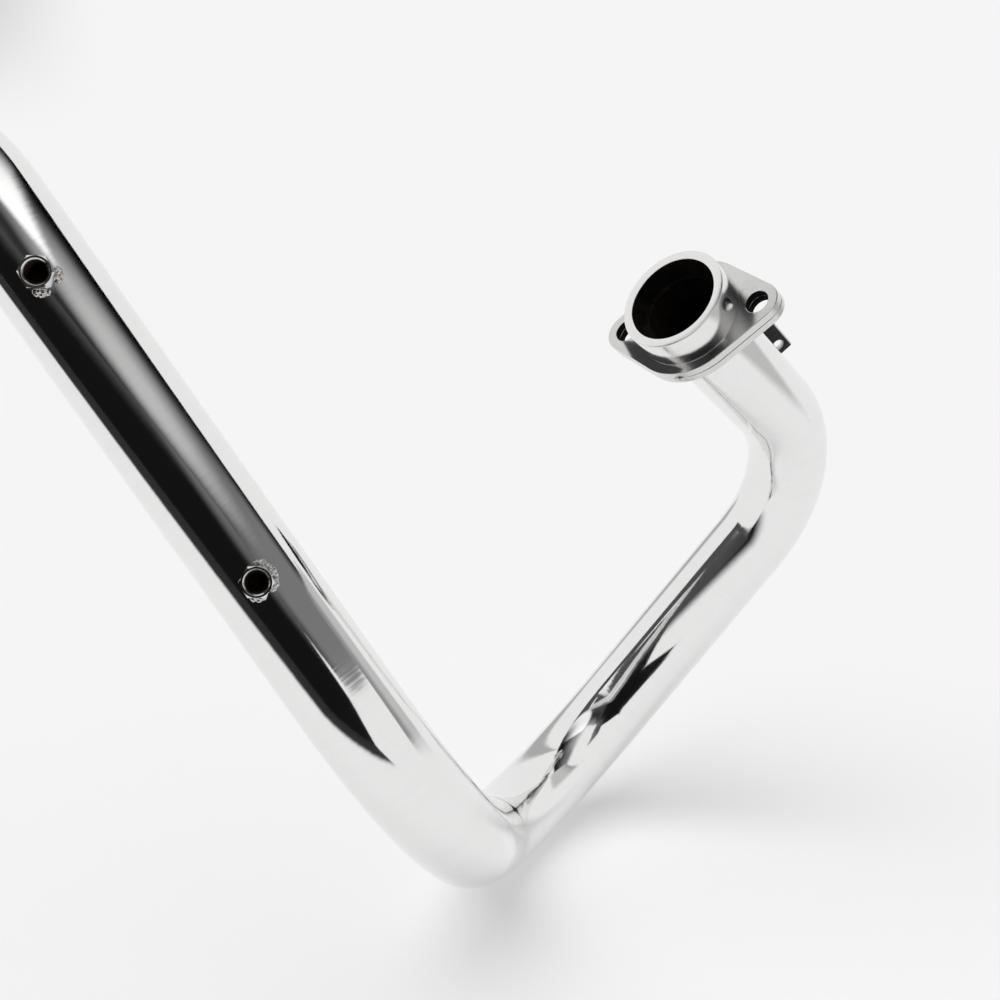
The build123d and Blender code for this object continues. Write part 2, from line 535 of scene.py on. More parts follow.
@dataclass(frozen=True)
class SootyBoreAndHoleShade:
    """Inside of the pipe and the collar, black and dry from the exhaust; the same black is painted onto the
    stud holes' walls as shade.
    """

    soot_and_hole_shade: Colour = (0.0050, 0.0040, 0.0033, 1.0)
    rust: Colour = (0.0170, 0.0105, 0.0070, 1.0)
    patches: Pair = (0.42, 0.75)
    shine: float = 0.10
    relief: float = 0.00015

    def material(self) -> bpy.types.Material:
        """Make the material of the pipe's inside, which also paints shade onto the stud holes' walls."""
        material, graph = new_graph("sooty_bore_and_hole_shade")
        cloud = graph.noise(graph.place(), per_metre=260.0, detail=5.0)
        graph.metal({
            "Base Color": graph.mix(cloud.ramp(*self.patches), self.soot_and_hole_shade, self.rust),
            "Metallic": 0.0,
            "Specular IOR Level": self.shine,
            "Roughness": 0.75 + 0.2 * cloud,
            "Normal": graph.bump(cloud, self.relief),
        })
        return material


@dataclass(frozen=True)
class TurnedSteel:
    """Lathe-turned bright steel."""

    axis: Vector
    bright: Colour = grey(0.90, 0.004)
    dull: Colour = grey(0.76, 0.006)
    lines_per_metre: float = 2600.0
    relief: float = 0.000010

    def material(self) -> bpy.types.Material:
        """Make the material of the collar."""
        material, graph = new_graph("turned_steel")
        point = graph.place()
        outline = graph.along(point, self.axis) + graph.off_axis(point, self.axis, Vector())
        lines = graph.rings(outline, self.lines_per_metre)
        cloud = graph.noise(point, per_metre=180.0, detail=4.0)
        graph.metal({
            "Base Color": graph.mix(lines * 0.6 + cloud * 0.4, self.bright, self.dull),
            "Roughness": 0.07 + 0.12 * lines + 0.05 * cloud,
            "Normal": graph.bump(lines + cloud, self.relief),
        })
        return material


@dataclass(frozen=True)
class SatinPlate:
    """Cut steel plate with a fine satin grain."""

    grain: Vector
    stretch: float = 0.93
    bright: Colour = grey(0.76, 0.006)
    dull: Colour = grey(0.60, 0.010)
    relief: float = 0.000010

    def material(self) -> bpy.types.Material:
        """Make the material of the flange plates."""
        material, graph = new_graph("satin_plate")
        point = graph.place()
        squeeze = Vector((1, 1, 1)) - Vector([abs(part) * self.stretch for part in self.grain])
        streaks = graph.noise(graph.vector("MULTIPLY", point, squeeze), per_metre=1500.0)
        cloud = graph.noise(point, per_metre=90.0, detail=4.0)
        graph.metal({
            "Base Color": graph.mix(streaks * 0.5 + cloud * 0.5, self.bright, self.dull),
            "Roughness": 0.12 + 0.10 * cloud + 0.06 * streaks,
            "Normal": graph.bump(streaks + cloud, self.relief),
        })
        return material


@dataclass(frozen=True)
class ScaledPlate:
    """Unpolished plate under dark mill scale, with highlights painted pale along its outer edge and round its
    hole, in metres.
    """

    out: Vector
    edge: float
    normal: Vector
    hole: Vector
    hole_radius: float
    scale: Colour = grey(0.030)
    patch: Colour = grey(0.055)
    patches: Pair = (0.40, 0.72)
    edge_highlight: Colour = grey(0.66, 0.004)
    highlight_rim_width: Pair = (0.75 * MM, 0.35 * MM)
    highlight_ring_width: Pair = (0.25 * MM, 0.45 * MM)
    relief: float = 0.00003

    def material(self) -> bpy.types.Material:
        """Make the material of the tab."""
        material, graph = new_graph("scaled_plate")
        point = graph.place()
        cloud = graph.noise(point, per_metre=500.0, detail=5.0)
        # Painted highlights: pale metal along the outer edge and in a ring round the hole.
        rim = graph.along(point, self.out).ramp(*(self.edge - width for width in self.highlight_rim_width))
        radius = graph.off_axis(point, self.normal, self.hole)
        painted_highlight = rim + radius.fall(*(self.hole_radius + width for width in self.highlight_ring_width))
        crust = graph.mix(cloud.ramp(*self.patches), self.scale, self.patch)
        graph.metal({
            "Base Color": graph.mix(painted_highlight, crust, self.edge_highlight),
            "Roughness": 0.46 + 0.14 * cloud - 0.26 * painted_highlight,
            "Normal": graph.bump(cloud, self.relief),
        })
        return material


@dataclass(frozen=True)
class BossSteel:
    """Bright machined steel with painted shade darkening its threaded holes, in metres."""

    axis: Vector
    thread_shade_radius: float
    middles: Tuple[Vector, ...]
    thread_shade_fade: float = 0.45 * MM
    bright: Colour = grey(0.80)
    dull: Colour = grey(0.66, 0.01)
    # Colour of the painted shade inside the threaded holes.
    dark: Colour = (0.030, 0.020, 0.014, 1.0)
    relief: float = 0.000010

    def material(self) -> bpy.types.Material:
        """Make the material of the bosses."""
        material, graph = new_graph("boss_steel")
        point = graph.place()
        cloud = graph.noise(point, per_metre=420.0, detail=4.0)
        # Painted shade: the steel turns dark brown close to each threaded hole's axis.
        dark: Operand = 0.0
        for middle in self.middles:
            radius = graph.off_axis(point, self.axis, middle)
            dark = radius.fall(self.thread_shade_radius, self.thread_shade_radius + self.thread_shade_fade) + dark
        steel = graph.mix(cloud, self.bright, self.dull)
        graph.metal({
            "Base Color": graph.mix(dark, steel, self.dark),
            "Roughness": 0.07 + 0.08 * cloud + 0.30 * dark,
            "Normal": graph.bump(cloud, self.relief),
        })
        return material


@dataclass(frozen=True)
class WeldMetal:
    """Silvery crumpled weld with a little straw left by the heat."""

    silver: Colour = grey(0.70)
    shade: Colour = grey(0.38)
    shades: Pair = (0.35, 0.65)
    straw: Colour = (0.50, 0.42, 0.32, 1.0)
    straw_share: float = 0.35
    straw_patches: Pair = (0.50, 0.72)
    relief: float = 0.00012

    def material(self) -> bpy.types.Material:
        """Make the material of the welds."""
        material, graph = new_graph("weld_metal")
        point = graph.place()
        cloud = graph.noise(point, per_metre=1100.0, detail=4.0)
        tint = graph.noise(point, per_metre=230.0, detail=2.0).ramp(*self.straw_patches)
        steel = graph.mix(cloud.ramp(*self.shades), self.shade, self.silver)
        graph.metal({
            "Base Color": graph.mix(self.straw_share * tint, steel, self.straw),
            "Roughness": 0.10 + 0.20 * cloud,
            "Normal": graph.bump(cloud, self.relief),
        })
        return material


@dataclass
class Port:
    """Directions of the head face and the sizes that its neighbours share, in millimetres and degrees."""

    heading: float = 43.4
    drop: float = 36.2
    stud_roll: float = -19.2
    pipe_radius: float = 15.9
    pipe_wall: float = 1.5
    socket_depth: float = 4.0

    def __post_init__(self) -> None:
        """Work out the directions."""
        self.axis = turned(turned(X_AXIS, Y_AXIS, self.drop), Z_AXIS, self.heading)
        side = turned(-Y_AXIS, Z_AXIS, self.heading)
        self.stud_line = turned(side, self.axis, self.stud_roll)

    def face(self, lift: float = 0.0) -> Matrix:
        """Give the head face's plane, with X along the studs, lifted along the port axis."""
        return standing(self.axis * lift * MM, self.stud_line, self.axis)


@dataclass(frozen=True)
class Bend:
    """One line of the pipe's bend data: the run before the bend, its roll, turn and radius."""

    run: float
    roll: float
    turn: float
    radius: float


@dataclass
class HeaderPipe:
    """The bent tube from the port to the outlet, in millimetres and degrees."""

    port: Port
    bends: Tuple[Bend, ...] = (
        Bend(66.5, 130.0, 88.0, 48.0),
        Bend(87.0, -33.5, 102.0, 64.0),
        Bend(39.0, 76.0, 71.5, 80.0),
    )
    rising_run: float = 180.0
    outlet_radius: float = 64.0
    outlet_run: float = 45.0
    step_degrees: float = 2.0
    rim_break: float = 0.25

    def __post_init__(self) -> None:
        """Start at the pipe's end in the collar."""
        self.station = 0.0
        self.flow = self.port.axis.copy()
        self.inward = self.port.stud_line.copy()
        self.end = self.port.axis * -self.port.socket_depth * MM
        self.rising_start = Vector()
        self.rising_flow = Vector()
        self.rising_inward = Vector()

    def build(self) -> Workpiece:
        """Bend the tube as a bender does, run by run and bend by bend.

        Returns:
            The tube with its wall.
        """
        place = standing(self.end, self.port.stud_line, self.flow)
        pipe = Workpiece.circle("polished_pipe", self.port.pipe_radius * MM, place, segments=96)
        with pipe.editing() as mesh:
            mesh.verts.layers.float.new("route")
            bpy.ops.mesh.select_all(action="SELECT")
            slack = self.port.socket_depth
            for bend in self.bends:
                self._run(pipe, bend.run + slack)
                slack = 0.0
                self.inward = turned(self.inward, self.flow, bend.roll)
                self._bend(pipe, bend.turn, bend.radius)
            self.rising_start = self.end.copy()
            self.rising_flow = self.flow.copy()
            self.rising_inward = self.inward.copy()
            self._run(pipe, self.rising_run)
            outlet = -X_AXIS
            self.inward = (outlet - self.flow * outlet.dot(self.flow)).normalized()
            self._bend(pipe, math.degrees(self.flow.angle(outlet)), self.outlet_radius)
            self._run(pipe, self.outlet_run)
            self._face_away_from_bore(pipe)
        for _ in range(2):
            pipe.body.data.materials.append(None)
        pipe.modify("SOLIDIFY", {
            "thickness": self.port.pipe_wall * MM,
            "offset": -1.0,
            "use_even_offset": True,
            "use_rim": True,
            "material_offset": 1,
            "material_offset_rim": 1,
        })
        pipe.ease_edges(self.rim_break, degrees=60.0, segments=2)
        pipe.smooth(degrees=50.0)
        return pipe

    def _mark(self, pipe: Workpiece, known: int, measure: Callable[[Vector], float]) -> None:
        """Write the distance along the route onto the new points.

        Args:
            pipe: the tube.
            known: number of points that are already marked.
            measure: takes a point and gives its distance along the route.
        """
        mesh = bmesh.from_edit_mesh(pipe.body.data)
        layer = mesh.verts.layers.float["route"]
        mesh.verts.ensure_lookup_table()
        for vert in mesh.verts[known:]:
            vert[layer] = measure(vert.co)
        bmesh.update_edit_mesh(pipe.body.data)

    def _run(self, pipe: Workpiece, length: float) -> None:
        """Draw a straight run.

        Args:
            pipe: the tube.
            length: length in millimetres.
        """
        known = len(bmesh.from_edit_mesh(pipe.body.data).verts)
        start, flow, passed = self.end.copy(), self.flow.copy(), self.station
        pipe.extrude(flow * length * MM)
        self._mark(pipe, known, lambda point: passed + (point - start).dot(flow))
        self.end = start + flow * length * MM
        self.station = passed + length * MM

    def _bend(self, pipe: Workpiece, turn: float, radius: float) -> None:
        """Draw a bend towards the inward side.

        Args:
            pipe: the tube.
            turn: angle of the bend.
            radius: radius of the centreline in millimetres.
        """
        known = len(bmesh.from_edit_mesh(pipe.body.data).verts)
        axis = self.flow.cross(self.inward)
        centre = self.end + self.inward * radius * MM
        inward, flow, passed = self.inward.copy(), self.flow.copy(), self.station
        steps = round(turn / self.step_degrees)
        bpy.ops.mesh.spin(steps=steps, angle=-math.radians(turn), center=tuple(centre), axis=tuple(axis))

        def measure(point: Vector) -> float:
            """Measure a point of the bend along the centreline."""
            arm = point - centre
            return passed + math.atan2(arm.dot(flow), -arm.dot(inward)) * radius * MM

        self._mark(pipe, known, measure)
        self.end = centre + turned(self.end - centre, axis, turn)
        self.flow = turned(self.flow, axis, turn)
        self.inward = turned(self.inward, axis, turn)
        self.station = passed + math.radians(turn) * radius * MM

    def _face_away_from_bore(self, pipe: Workpiece) -> None:
        """Turn the faces away from the bore."""
        pipe.face_outwards()
        mesh = bmesh.from_edit_mesh(pipe.body.data)
        mesh.faces.ensure_lookup_table()
        first = mesh.faces[0]
        middle = first.calc_center_median()
        away = middle - self.port.axis * middle.dot(self.port.axis)
        if first.normal.dot(away) < 0:
            bpy.ops.mesh.flip_normals()

    def dress(self, soot_and_hole_shade: bpy.types.Material) -> None:
        """Build the pipe and give it its polish and its sooty inside."""
        self.build().seat("header_pipe", Slot.PIPE, PolishedStainless().material(), soot_and_hole_shade)


@dataclass
class PortCollar:
    """The turned ring that enters the exhaust port, in millimetres."""

    port: Port
    height: float = 12.5
    wall: float = 3.5
    mouth_step: float = 0.6
    slip: float = 0.05
    edge_round: float = 0.45
    soot_margin: float = 0.1

    def dress(self, soot_and_hole_shade: bpy.types.Material) -> None:
        """Turn the collar, ease its rim and finish it.

        Args:
            soot_and_hole_shade: material of the mouth.
        """
        inner = self.port.pipe_radius + self.slip
        mouth = self.port.pipe_radius + self.mouth_step
        outer = mouth + self.wall
        profile = [
            (inner, 0.0),
            (outer, 0.0),
            (outer, -self.height),
            (mouth, -self.height),
            (mouth, -self.port.socket_depth),
            (inner, -self.port.socket_depth),
        ]
        collar = Workpiece.lathe("turned_collar", profile, self.port.face(), segments=160)
        collar.ease_edges(self.edge_round, degrees=40.0, segments=4)
        collar.smooth(degrees=30.0)
        axis = self.port.axis
        limit = (mouth + self.soot_margin) * MM
        collar.paint(1, lambda spot: (spot - axis * spot.dot(axis)).length < limit)
        collar.seat("port_collar", Slot.COLLAR, TurnedSteel(axis).material(), soot_and_hole_shade)


@dataclass
class HeadFlange:
    """Two identical lozenge plates, their tacks and the seam behind them, in millimetres and degrees."""

    port: Port
    thickness: float = 3.1
    hub_margin: float = 8.0
    stud_spacing: float = 54.0
    stud_hole: float = 8.6
    ear_wall: float = 3.6
    hole_margin: float = 0.12
    edge_round: float = 0.55
    slip: float = 0.05
    tack_angle: float = 96.0
    tack_radius: float = 1.3
    tack_sink: float = 0.35
    tack_drops: Tuple[Pair, ...] = ((-2.6, 0.80), (-0.6, 1.0), (1.6, 0.92), (3.4, 0.66))
    tack_voxel: float = 0.16
    tack_crumple: float = 0.2
    seam_radius: float = 2.2
    seam_drops: int = 84
    seam_away: float = 1.3
    seam_lift: float = 1.2
    seam_voxel: float = 0.40
    seam_crumple: float = 0.1
    seam_overlap: float = 0.1
    seam_ripples: Tuple[Tuple[float, int, float], ...] = ((0.10, 7, 0.0), (0.06, 17, 1.0))
    floor_cut: Pair = (30.0, 6.0)
    core_cut: float = 20.0

    def _plate(self, name: str, lift: float) -> Workpiece:
        """Cut one plate.

        Args:
            name: name of the plate.
            lift: distance of its head-side face from the head face.

        Returns:
            The plate.
        """
        place = self.port.face(lift)
        depth = self.thickness * MM
        studs = [Matrix.Translation((side * self.stud_spacing / 2 * MM, 0, 0)) for side in (-1, 1)]
        hub = (self.port.pipe_radius + self.hub_margin) * MM
        ear = (self.stud_hole / 2 + self.ear_wall) * MM
        plate = Workpiece.drum(name, hub, depth, place, segments=160)
        plate.join([Workpiece.drum("ear", ear, depth, place @ stud) for stud in studs])
        with plate.editing():
            bpy.ops.mesh.select_all(action="SELECT")
            bpy.ops.mesh.convex_hull()
            bpy.ops.mesh.select_all(action="SELECT")
            bpy.ops.mesh.dissolve_limited(angle_limit=math.radians(0.5))
        below = place @ Matrix.Translation((0, 0, -depth))
        bore = (self.port.pipe_radius + self.slip) * MM
        plate.shape_by(Workpiece.drum("bore", bore, 3 * depth, below, segments=128))
        hole = self.stud_hole / 2 * MM
        for stud in studs:
            plate.shape_by(Workpiece.drum("hole", hole, 3 * depth, below @ stud, segments=64))
        plate.ease_edges(self.edge_round, degrees=40.0, segments=4)
        plate.smooth(degrees=30.0)
        plate.modify("WEIGHTED_NORMAL", {"keep_sharp": True})
        return plate

    def dress(self, weld: bpy.types.Material, soot_and_hole_shade: bpy.types.Material) -> None:
        """Build the flange and finish it.

        Args:
            weld: material of the welds.
            soot_and_hole_shade: material painted onto the stud holes' walls as shade.
        """
        satin = SatinPlate(self.port.stud_line).material()
        axis = self.port.axis
        studs = [self.port.stud_line * side * self.stud_spacing / 2 * MM for side in (-1.0, 1.0)]
        limit = (self.stud_hole / 2 + self.hole_margin) * MM

        def in_stud_hole(spot: Vector) -> bool:
            """Tell whether a face belongs to the wall of a stud hole."""
            flat = spot - axis * spot.dot(axis)
            return min((flat - stud).length for stud in studs) < limit

        for side, lift in (("front", 0.0), ("rear", self.thickness)):
            plate = self._plate(f"{side}_plate", lift)
            # The stud holes' walls get the black of the bore, painted there as shade.
            plate.paint(1, in_stud_hole)
            plate.seat(f"{side}_flange_plate", Slot.PLATE, satin, soot_and_hole_shade)
        self._tacks().seat("flange_tack_welds", Slot.WELD, weld)
        self._seam().seat("flange_seam_weld", Slot.WELD, weld)

    def _tacks(self) -> Workpiece:
        """Lay the two tacks that join the plates' edges.

        Returns:
            The tacks.
        """
        place = self.port.face(self.thickness)
        reach = (self.port.pipe_radius + self.hub_margin - self.tack_sink) * MM
        drops: List[Drop] = []
        for side in (0.0, 180.0):
            for turn, size in self.tack_drops:
                angle = math.radians(self.tack_angle + side + turn)
                spot = place @ Vector((reach * math.cos(angle), reach * math.sin(angle), 0.0))
                drops.append((spot, self.tack_radius * size * MM))
        return bead("plate_tacks", drops, self.tack_voxel, self.tack_crumple)

    def _seam(self) -> Workpiece:
        """Lay the rippled seam between the rear plate and the pipe.

        Returns:
            The seam.
        """
        stack = 2 * self.thickness
        back = self.port.face(stack)
        reach = self.port.pipe_radius + self.seam_away
        drops: List[Drop] = []
        for step in range(self.seam_drops):
            angle = 2 * math.pi * step / self.seam_drops
            wobble = sum(size * math.sin(count * angle + shift) for size, count, shift in self.seam_ripples)
            spot = Vector((reach * math.cos(angle), reach * math.sin(angle), self.seam_lift)) * MM
            drops.append((back @ spot, (self.seam_radius + wobble) * MM))
        seam = bead("pipe_seam", drops, self.seam_voxel, self.seam_crumple)
        width, depth = self.floor_cut
        seam.shape_by(Workpiece.drum("floor_cut", width * MM, depth * MM, self.port.face(stack - depth)))
        core = (self.port.pipe_radius - self.seam_overlap) * MM
        seam.shape_by(Workpiece.drum("core_cut", core, self.core_cut * MM, self.port.face()))
        seam.smooth(degrees=40.0)
        return seam


@dataclass
class ShieldBosses:
    """Two hexagonal threaded bosses with tack welds at their feet, in millimetres and degrees."""

    pipe: HeaderPipe
    across_flats: float = 9.0
    height: float = 7.5
    blank_foot: float = 8.0
    crown_diameter: float = 9.0
    crown_slope: float = 30.0
    core_radius: float = 2.5
    crest_radius: float = 3.0
    sink_radius: float = 4.0
    sink_depth: float = 1.73
    sink_round: float = 0.24
    sink_turns: Tuple[float, ...] = (90.0, 98.0, 106.0, 114.0, 122.0, 130.0)
    thread_floor: float = 0.5
    pitch: float = 1.0
    cutter_core: float = 0.05
    cutter_rise: float = 1.0
    thread_shade_margin: float = 0.3
    spacing: float = 107.0
    from_bend: float = 29.0
    clock: float = -175.8
    spin: float = -5.0
    edge_round: float = 0.16
    cope_length: float = 40.0
    weld_overlap: float = 0.1
    weld_voxel: float = 0.14
    weld_crumple: float = 0.2
    drop_radius: float = 1.0
    upper_welds: Tuple[float, ...] = (-118.0, 147.0)
    lower_welds: Tuple[float, ...] = (-48.0, -94.0, -132.0, 147.0)
    drops: Tuple[Tuple[float, float, float, float], ...] = (
        (-22.0, 0.70, 0.55, 0.35),
        (-13.0, 0.95, 0.85, 0.20),
        (-5.0, 0.80, 0.35, 1.10),
        (3.0, 1.05, 0.95, 0.25),
        (11.0, 0.75, 0.45, 0.95),
        (18.0, 0.90, 0.80, 0.10),
        (26.0, 0.55, 0.60, 0.40),
    )

    def __post_init__(self) -> None:
        """Work out the stations along the rising run and the direction of the bosses."""
        self.out = turned(self.pipe.rising_inward, self.pipe.rising_flow, self.clock)
        upper = self.pipe.rising_run - self.from_bend
        self.stations = {"upper": upper, "lower": upper - self.spacing}

    def _plane(self, station: float) -> Matrix:
        """Give the plane through the pipe's axis at a boss, with X along the flow and Z out."""
        origin = self.pipe.rising_start + self.pipe.rising_flow * station * MM
        return standing(origin, self.pipe.rising_flow, self.out)

    def _cope(self, radius: float, station: float) -> Workpiece:
        """Give a drum along the pipe that copes the feet.

        Args:
            radius: radius of the drum in millimetres.
            station: distance of its middle along the rising run.

        Returns:
            The drum.
        """
        start = self.pipe.rising_start + self.pipe.rising_flow * (station - self.cope_length / 2) * MM
        place = standing(start, self.out, self.pipe.rising_flow)
        return Workpiece.drum("cope", radius * MM, self.cope_length * MM, place, segments=128)

    def _boss(self, name: str, station: float) -> Workpiece:
        """Make one boss.

        Args:
            name: name of the boss.
            station: distance along the rising run.

        Returns:
            The boss.
        """
        radius = self.pipe.port.pipe_radius
        top = radius + self.height
        half_side = 30.0
        corner = self.across_flats / 2 / math.cos(math.radians(half_side))
        place = self._plane(station)
        spun = Matrix.Rotation(math.radians(half_side + self.spin), 4, "Z")
        foot = place @ Matrix.Translation((0, 0, self.blank_foot * MM)) @ spun
        boss = Workpiece.drum(name, corner * MM, (top - self.blank_foot) * MM, foot, segments=6)
        crown = self.crown_diameter / 2
        reach = crown + top / math.tan(math.radians(self.crown_slope))
        sizes = {"radius1": reach * MM, "radius2": crown * MM, "depth": top * MM}
        middle = place @ Matrix.Translation((0, 0, top * MM / 2))
        cone = Workpiece("crown", middle, bpy.ops.mesh.primitive_cone_add, vertices=96, **sizes)
        boss.shape_by(cone, Cut.COMMON)
        boss.ease_edges(self.edge_round, degrees=20.0, segments=3)
        boss.shape_by(self._cope(radius, station))
        boss.shape_by(self._thread(place, top))
        boss.smooth(degrees=25.0)
        return boss

    def _thread(self, place: Matrix, top: float) -> Workpiece:
        """Make the cutter of a countersunk thread.

        Args:
            place: plane of the boss.
            top: height of the boss's top above the pipe's axis.

        Returns:
            The cutter.
        """
        start = top - self.sink_depth
        floor = top - self.height + self.thread_floor
        above = top + self.cutter_rise
        profile = [(self.cutter_core, above), (self.sink_radius, above)]
        for degrees in self.sink_turns:
            turn = math.radians(degrees)
            reach = self.sink_radius + self.sink_round * math.cos(turn)
            profile.append((reach, top - self.sink_round * (1.0 - math.sin(turn))))
        profile.append((self.core_radius, start))
        for step in range(int((self.height - self.sink_depth) / self.pitch)):
            profile.append((self.crest_radius, start - (step + 0.5) * self.pitch))
            profile.append((self.core_radius, start - (step + 1.0) * self.pitch))
        profile[-1] = (self.core_radius, floor)
        profile.append((self.cutter_core, floor))
        return Workpiece.lathe("thread", profile, place, segments=48)

    def _welds(self, name: str, station: float, angles: Sequence[float]) -> Workpiece:
        """Lay the tacks around the foot of a boss.

        Args:
            name: name of the welds.
            station: distance along the rising run.
            angles: places around the boss, in degrees from the flow.

        Returns:
            The welds.
        """
        radius = self.pipe.port.pipe_radius
        place = self._plane(station)
        drops: List[Drop] = []
        for number, angle in enumerate(angles):
            way = 1.0 if number % 2 else -1.0
            for turn, size, away, lift in self.drops:
                bearing = math.radians(angle + turn * way)
                reach = self.across_flats / 2 + away
                across = reach * math.sin(bearing)
                out = math.sqrt(radius**2 - across**2) + lift
                spot = place @ (Vector((reach * math.cos(bearing), across, out)) * MM)
                drops.append((spot, self.drop_radius * size * MM))
        welds = bead(name, drops, self.weld_voxel, self.weld_crumple)
        welds.shape_by(self._cope(radius - self.weld_overlap, station))
        welds.smooth(degrees=50.0)
        return welds

    def dress(self, weld: bpy.types.Material) -> None:
        """Build both bosses with their welds.

        Args:
            weld: material of the welds.
        """
        middles = tuple(self._plane(station).to_translation() for station in self.stations.values())
        steel = BossSteel(self.out, (self.crest_radius + self.thread_shade_margin) * MM, middles).material()
        for level, angles in (("upper", self.upper_welds), ("lower", self.lower_welds)):
            station = self.stations[level]
            self._boss(f"{level}_hex_boss", station).seat(f"{level}_boss", Slot.BOSS, steel)
            self._welds(f"{level}_boss_tacks", station, angles).seat(f"{level}_boss_welds", Slot.WELD, weld)


@dataclass
class BracketTab:
    """The small holed tab on the inlet run and its bead, in millimetres and degrees."""

    port: Port
    inlet_run: float
    angle: float = -40.5
    offset: float = 8.0
    thickness: float = 2.0
    reach: float = 8.0
    sunk: float = 3.0
    length: float = 16.0
    from_bend: float = 8.9
    corner: float = 1.0
    hole_radius: float = 2.1
    hole_from_side: float = 4.5
    hole_from_end: float = 5.3
    drill_length: float = 8.0
    edge_round: float = 0.5
    bead_radius: float = 1.5
    bead_ripple: float = 0.08
    ripple_turn: float = 2.1
    bead_drops: int = 14
    bead_margin: float = 2.2
    bead_voxel: float = 0.20
    bead_crumple: float = 0.1

    def __post_init__(self) -> None:
        """Work out the tab's directions and edges."""
        self.out = turned(self.port.stud_line, self.port.axis, self.angle)
        self.normal = self.port.axis.cross(self.out)
        self.foot = math.sqrt(self.port.pipe_radius**2 - self.offset**2)
        self.edge = self.foot + self.reach
        self.far = self.inlet_run - self.from_bend

    def _outer_corner(self, edge: bmesh.types.BMEdge) -> bool:
        """Tell whether an edge of the blank is one of its outer corners.

        Args:
            edge: the edge.

        Returns:
            True for an outer corner.
        """
        first, last = (vert.co for vert in edge.verts)
        upright = abs((last - first).normalized().dot(self.normal)) > 0.9
        return upright and ((first + last) / 2).dot(self.out) > self.edge * MM - 0.1 * MM

    def dress(self, weld: bpy.types.Material) -> None:
        """Build the tab with its bead.

        Args:
            weld: material of the bead.
        """
        out, normal, axis = self.out, self.normal, self.port.axis
        middle = out * ((self.foot - self.sunk + self.edge) / 2) - normal * (self.offset + self.thickness / 2)
        middle += axis * (self.far - self.length / 2)
        size = (self.edge - self.foot + self.sunk, self.length, self.thickness)
        scaled = Matrix.Diagonal((*(part * MM for part in size), 1.0))
        place = standing(middle * MM, out, normal) @ scaled
        tab = Workpiece("holed_tab", place, bpy.ops.mesh.primitive_cube_add, size=1.0)
        with tab.editing():
            tab.pick_edges(self._outer_corner)
            bpy.ops.mesh.bevel(offset=self.corner * MM, segments=6, affect="EDGES")
        spot = out * (self.edge - self.hole_from_side) + axis * (self.far - self.hole_from_end)
        spot -= normal * (self.offset + self.drill_length / 2)
        at = standing(spot * MM, out, normal)
        tab.shape_by(Workpiece.drum("drill", self.hole_radius * MM, self.drill_length * MM, at, segments=48))
        tab.ease_edges(self.edge_round, degrees=40.0, segments=4)
        run = self.inlet_run * MM
        cope = Workpiece.drum("cope", self.port.pipe_radius * MM, run, self.port.face(), segments=128)
        tab.shape_by(cope, keep_tool=True)
        tab.smooth(degrees=30.0)
        finish = ScaledPlate(out, self.edge * MM, normal, spot * MM, self.hole_radius * MM)
        tab.seat("bracket_tab", Slot.TAB, finish.material())
        line = self._bead()
        line.shape_by(cope)
        line.smooth(degrees=50.0)
        line.seat("tab_weld", Slot.WELD, weld)

    def _bead(self) -> Workpiece:
        """Lay the bead along the tab's foot.

        Returns:
            The bead.
        """
        back = self.offset + self.thickness
        foot = math.sqrt(self.port.pipe_radius**2 - back**2)
        start = self.far - self.length + self.bead_margin
        span = self.length - 2 * self.bead_margin
        drops: List[Drop] = []
        for step in range(self.bead_drops):
            station = start + step * span / (self.bead_drops - 1)
            spot = self.out * foot - self.normal * back + self.port.axis * station
            ripple = self.bead_ripple * math.sin(self.ripple_turn * step)
            drops.append((spot * MM, (self.bead_radius + ripple) * MM))
        return bead("tab_bead", drops, self.bead_voxel, self.bead_crumple)


@dataclass(frozen=True)
class Card:
    """A flat card that only reflections show: its name, its plane and its corners there, in metres."""

    name: str
    plane: Matrix
    corners: Corners

    def hang(self, level: Union[float, Shade], clear: Optional[Shade] = None) -> None:
        """Hang the card.

        Args:
            level: the brightness, or what gives it from the graph and the point.
            clear: gives how clear the card is, from the graph and the point.
        """
        card = Workpiece(self.name, Matrix.Identity(4), bpy.ops.mesh.primitive_plane_add, size=1.0)
        for vert, corner in zip(card.body.data.vertices, (0, 1, 3, 2)):
            vert.co = self.plane @ Vector((*self.corners[corner], 0.0))
        material, graph = new_graph(self.name)
        point = graph.place()
        glow = level(graph, point) if callable(level) else grey(level)
        shader = graph.node("ShaderNodeEmission", None, {"Color": glow, "Strength": 1.0})
        if clear is not None:
            open_air = graph.node("ShaderNodeBsdfTransparent")
            inputs = {0: clear(graph, point), 1: shader, 2: open_air}
            shader = graph.node("ShaderNodeMixShader", None, inputs)
        graph.close(shader)
        card.body.data.materials.append(material)
        card.body.visible_camera = False
        card.body.visible_diffuse = False
        card.body.visible_shadow = False
        card.body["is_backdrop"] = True


def facing(y: float) -> Matrix:
    """Give an upright plane across the view, with X to the right and Y up."""
    return standing(Y_AXIS * y, X_AXIS, -Y_AXIS)


def beside(x: float) -> Matrix:
    """Give an upright plane along the view, with X away from the camera and Y up."""
    return standing(X_AXIS * x, Y_AXIS, X_AXIS)


def behind(graph: Graph, point: Value) -> Value:
    """Leave a card clear from behind."""
    return graph.node("ShaderNodeNewGeometry", None, None, "Backfacing")


